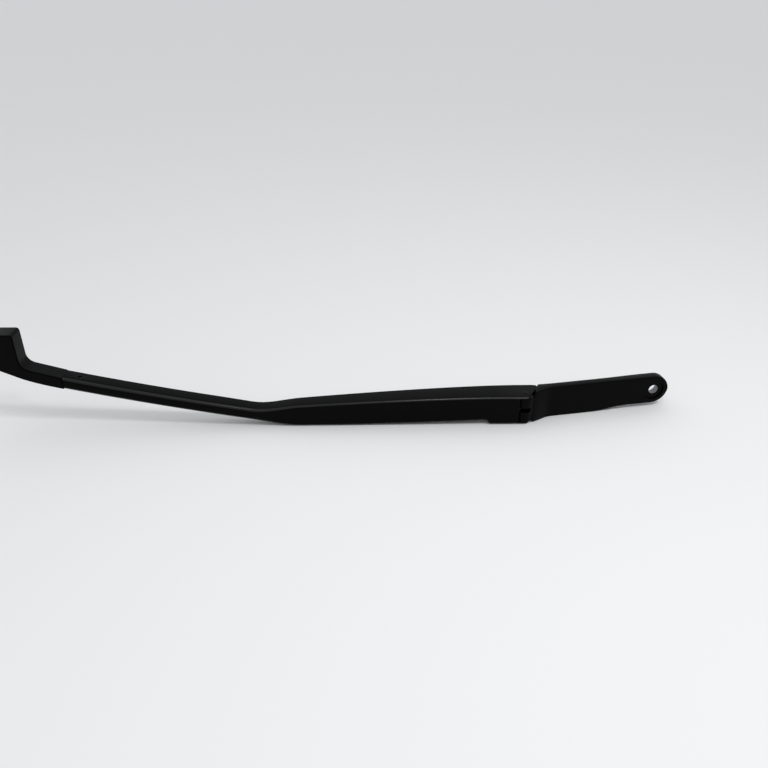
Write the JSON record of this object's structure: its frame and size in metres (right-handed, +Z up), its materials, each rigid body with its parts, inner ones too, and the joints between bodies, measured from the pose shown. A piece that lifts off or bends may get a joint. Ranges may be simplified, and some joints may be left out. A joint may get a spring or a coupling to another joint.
{
  "type": "wiper arm",
  "caption": "Windscreen wiper arm: a die-cast head on the wiper spindle, a spring-loaded hinge, a tapered steel channel and an offset block that holds the blade.",
  "frame": {"origin": "spindle axis at the floor of the nut's recess", "axes": "+X along the mounting head away from the arm, +Y to the windscreen along the spindle axis, +Z up, with the part standing on its long lower edge"},
  "size_m": [0.5692, 0.0925, 0.0885],
  "materials": {
    "head": "satin black powder coat on die-cast metal",
    "bush": "moulded black bearing plastic",
    "link_pin": "zinc plated",
    "arm_channel": "satin black powder coat on pressed steel",
    "hinge_pin": "black coated steel",
    "spring_anchor": "satin black powder coat on steel",
    "end_carrier": "satin black powder coat on die-cast metal",
    "carrier_rivet": "black coated steel",
    "blade_pin": "bare steel",
    "spring_link": "zinc plated",
    "tension_spring": "oiled spring steel"
  },
  "bodies": {
    "head": {"head": "head", "bush_upper": "bush", "bush_lower": "bush", "link_pin": "link_pin"},
    "arm": {"arm_channel": "arm_channel", "hinge_pin": "hinge_pin", "spring_anchor": "spring_anchor", "end_carrier": "end_carrier", "carrier_rivet": "carrier_rivet", "blade_pin": "blade_pin"},
    "spring_link": {"spring_link": "spring_link", "tension_spring": "tension_spring"}
  },
  "joints": [
    {"name": "arm_hinge", "type": "hinge", "parent": "head", "child": "arm", "pos_m": [-0.121, -0.0017, 0], "axis": [0, 0, 1], "range_deg": [0, 85], "stiffness_Nm_per_rad": 0.3, "springref_deg": -34.38},
    {"name": "link_hinge", "type": "hinge", "parent": "head", "child": "spring_link", "pos_m": [-0.11773, 0.00523, 0], "axis": [0, 0, 1], "range_deg": [0, 80.5]}
  ],
  "couplings": [
    {"joint": "link_hinge", "follows": "arm_hinge", "ratio": 0.9395}
  ]
}
